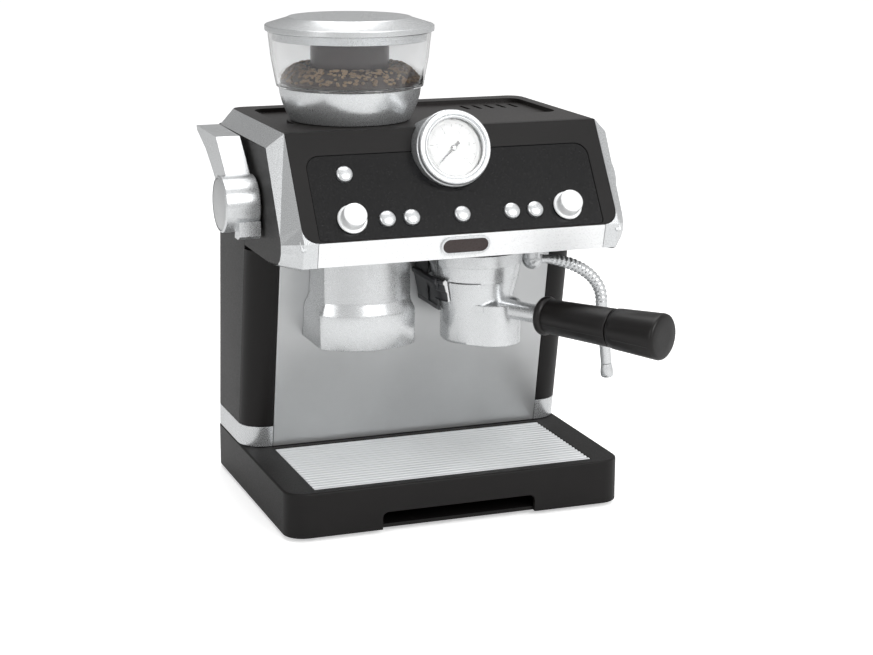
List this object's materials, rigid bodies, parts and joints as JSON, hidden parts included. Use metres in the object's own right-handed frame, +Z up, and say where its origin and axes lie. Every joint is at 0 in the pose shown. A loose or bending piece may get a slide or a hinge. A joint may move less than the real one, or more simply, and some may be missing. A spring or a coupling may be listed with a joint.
{
  "type": "toy coffee maker",
  "caption": "Toy espresso machine with a bean hopper, pressure gauge, knobs, buttons, a swinging portafilter, steam wand, side lever and drip tray.",
  "frame": {"origin": "middle of the bottom of the bounding box, on the plane of the feet", "axes": "+Z up, -Y towards the front with the console, +X towards the side with the steam wand and steam knob"},
  "size_m": [0.244, 0.2384, 0.2895],
  "materials": {
    "matte_black_plastic": "fine matte",
    "gloss_black_plastic": "gloss",
    "silver_plastic": "satin silver lacquer",
    "satin_silver_plastic": "satin silver, brushed",
    "dark_grey_plastic": "matte",
    "black_rubber": "matte",
    "clear_plastic": "clear",
    "smoky_brown_plastic": "clear, tinted brown",
    "bean_brown_plastic": "moulded beans",
    "dial_white": "printed",
    "bright_steel": "plain",
    "circuit_board_green": "lacquered",
    "battery_sleeve": "plain sleeve"
  },
  "bodies": {
    "machine": {"backsplash": "satin_silver_plastic", "badge": "silver_plastic", "base_housing": "matte_black_plastic", "base_plate": "matte_black_plastic", "battery_1": "battery_sleeve", "battery_2": "battery_sleeve", "battery_3": "battery_sleeve", "battery_contact_front": "bright_steel", "battery_contact_rear": "bright_steel", "battery_door": "matte_black_plastic", "battery_door_screw": "bright_steel", "circuit_board": "circuit_board_green", "coffee_beans": "bean_brown_plastic", "console_panel": "gloss_black_plastic", "fascia": "matte_black_plastic", "foot_front_left": "black_rubber", "foot_front_right": "black_rubber", "foot_rear_left": "black_rubber", "foot_rear_right": "black_rubber", "front_strip": "silver_plastic", "gauge_bezel": "silver_plastic", "gauge_dial": "dial_white", "gauge_drum": "silver_plastic", "gauge_lens": "clear_plastic", "gauge_needle": "matte_black_plastic", "grinder_outlet": "silver_plastic", "group_bracket": "dark_grey_plastic", "group_head": "silver_plastic", "head_floor": "matte_black_plastic", "hopper_bin": "clear_plastic", "hopper_bowl": "silver_plastic", "hopper_lid": "silver_plastic", "hopper_tube": "smoky_brown_plastic", "left_foot_ring": "silver_plastic", "left_side_panel": "matte_black_plastic", "left_trim": "silver_plastic", "rear_cover": "matte_black_plastic", "right_foot_ring": "silver_plastic", "right_side_panel": "matte_black_plastic", "right_trim": "silver_plastic", "speaker": "dark_grey_plastic", "top_cover": "matte_black_plastic", "wand_socket": "silver_plastic"},
    "left_dial_knob": {"left_dial_knob": "silver_plastic"},
    "right_dial_knob": {"right_dial_knob": "silver_plastic"},
    "power_button": {"power_button": "silver_plastic"},
    "left_outer_button": {"left_outer_button": "silver_plastic"},
    "left_inner_button": {"left_inner_button": "silver_plastic"},
    "centre_button": {"centre_button": "silver_plastic"},
    "right_inner_button": {"right_inner_button": "silver_plastic"},
    "right_outer_button": {"right_outer_button": "silver_plastic"},
    "portafilter": {"portafilter_basket": "silver_plastic", "handle_grip": "matte_black_plastic", "handle_end_cap": "matte_black_plastic"},
    "steam_wand": {"steam_wand": "silver_plastic", "steam_wand_tip": "silver_plastic"},
    "side_lever": {"side_lever": "silver_plastic", "side_lever_cap": "satin_silver_plastic"},
    "steam_knob": {"steam_knob": "silver_plastic"},
    "drip_grille": {"drip_grille": "satin_silver_plastic"}
  },
  "joints": [
    {"name": "left_dial_turn", "type": "hinge", "parent": "machine", "child": "left_dial_knob", "pos_m": [-0.06175, -0.04247, 0.18487], "axis": [0, -0.8364, 0.5481], "range_deg": [-135, 135]},
    {"name": "right_dial_turn", "type": "hinge", "parent": "machine", "child": "right_dial_knob", "pos_m": [0.06805, -0.04247, 0.18487], "axis": [0, -0.8364, 0.5481], "range_deg": [-135, 135]},
    {"name": "power_button_press", "type": "slide", "parent": "machine", "child": "power_button", "axis": [0, 0.8364, -0.5481], "range_m": [0, 0.0015], "stiffness_N_per_m": 200, "springref_m": -0.0008},
    {"name": "left_outer_button_press", "type": "slide", "parent": "machine", "child": "left_outer_button", "axis": [0, 0.8364, -0.5481], "range_m": [0, 0.0015], "stiffness_N_per_m": 200, "springref_m": -0.0008},
    {"name": "left_inner_button_press", "type": "slide", "parent": "machine", "child": "left_inner_button", "axis": [0, 0.8364, -0.5481], "range_m": [0, 0.0015], "stiffness_N_per_m": 200, "springref_m": -0.0008},
    {"name": "centre_button_press", "type": "slide", "parent": "machine", "child": "centre_button", "axis": [0, 0.8364, -0.5481], "range_m": [0, 0.0015], "stiffness_N_per_m": 200, "springref_m": -0.0008},
    {"name": "right_inner_button_press", "type": "slide", "parent": "machine", "child": "right_inner_button", "axis": [0, 0.8364, -0.5481], "range_m": [0, 0.0015], "stiffness_N_per_m": 200, "springref_m": -0.0008},
    {"name": "right_outer_button_press", "type": "slide", "parent": "machine", "child": "right_outer_button", "axis": [0, 0.8364, -0.5481], "range_m": [0, 0.0015], "stiffness_N_per_m": 200, "springref_m": -0.0008},
    {"name": "portafilter_lock", "type": "hinge", "parent": "machine", "child": "portafilter", "pos_m": [0.02855, -0.0003, 0.13], "axis": [0, 0, 1], "range_deg": [-45, 0]},
    {"name": "steam_wand_swing", "type": "hinge", "parent": "machine", "child": "steam_wand", "pos_m": [0.06515, -0.0003, 0.1455], "axis": [0, 0, 1], "range_deg": [-45, 20]},
    {"name": "side_lever_pull", "type": "hinge", "parent": "machine", "child": "side_lever", "pos_m": [-0.10085, 0.0157, 0.187], "axis": [1, 0, 0], "range_deg": [0, 60]},
    {"name": "steam_knob_turn", "type": "hinge", "parent": "machine", "child": "steam_knob", "pos_m": [0.10715, 0.0157, 0.187], "axis": [1, 0, 0], "range_deg": [0, 120]},
    {"name": "drip_grille_lift", "type": "slide", "parent": "machine", "child": "drip_grille", "axis": [0, 0, 1], "range_m": [0, 0.02]}
  ]
}
